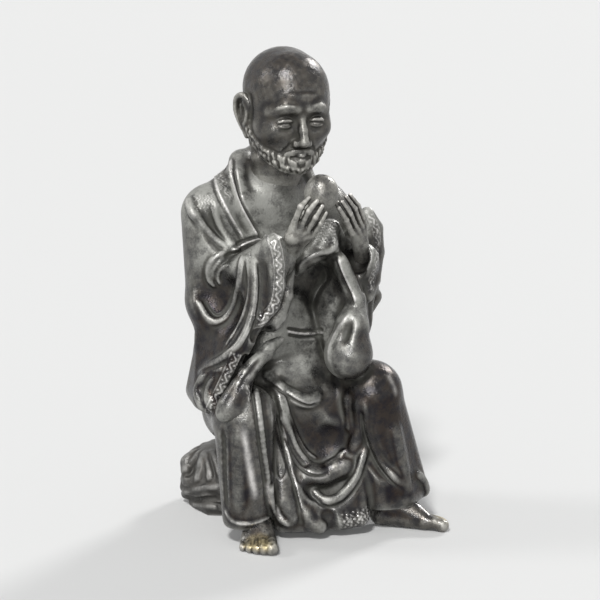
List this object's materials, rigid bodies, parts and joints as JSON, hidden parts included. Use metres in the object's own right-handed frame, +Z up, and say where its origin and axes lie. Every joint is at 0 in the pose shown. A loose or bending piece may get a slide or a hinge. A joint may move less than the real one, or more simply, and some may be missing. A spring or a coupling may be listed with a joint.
{
  "type": "statue",
  "caption": "Small cast bronze statue of a seated bald monk in a loose robe, hands raised round a peach, on a low rock seat; cast in sections and pinned together, free-standing.",
  "frame": {"origin": "middle of the footprint's bounding box, on the ground that the rock seat and the feet stand on", "axes": "+Z up, the figure faces -Y, its right side is at -X"},
  "size_m": [0.0732, 0.0774, 0.1485],
  "materials": {
    "robe_bronze": "dark brown-black patina with dusty recesses and worn edges",
    "skin_bronze": "dark patina, polished by handling",
    "rock_bronze": "dark matte patina",
    "pin_bronze": "plain cast bronze, unpatinated"
  },
  "bodies": {
    "root": {"rock_seat": "rock_bronze", "base_plate": "pin_bronze", "seat_wedge": "pin_bronze", "lower_body": "robe_bronze", "upper_body": "robe_bronze", "right_sleeve": "robe_bronze", "left_sleeve": "robe_bronze", "right_inner_sleeve": "robe_bronze", "head": "skin_bronze", "right_hand": "skin_bronze", "left_hand": "skin_bronze", "right_foot": "skin_bronze", "left_foot": "skin_bronze", "peach": "skin_bronze", "neck_pin": "pin_bronze", "right_waist_pin": "pin_bronze", "left_waist_pin": "pin_bronze", "right_shoulder_pin": "pin_bronze", "left_shoulder_pin": "pin_bronze", "right_wrist_pin": "pin_bronze", "left_wrist_pin": "pin_bronze", "right_ankle_pin": "pin_bronze", "left_ankle_pin": "pin_bronze", "peach_peg": "pin_bronze"}
  },
  "joints": []
}
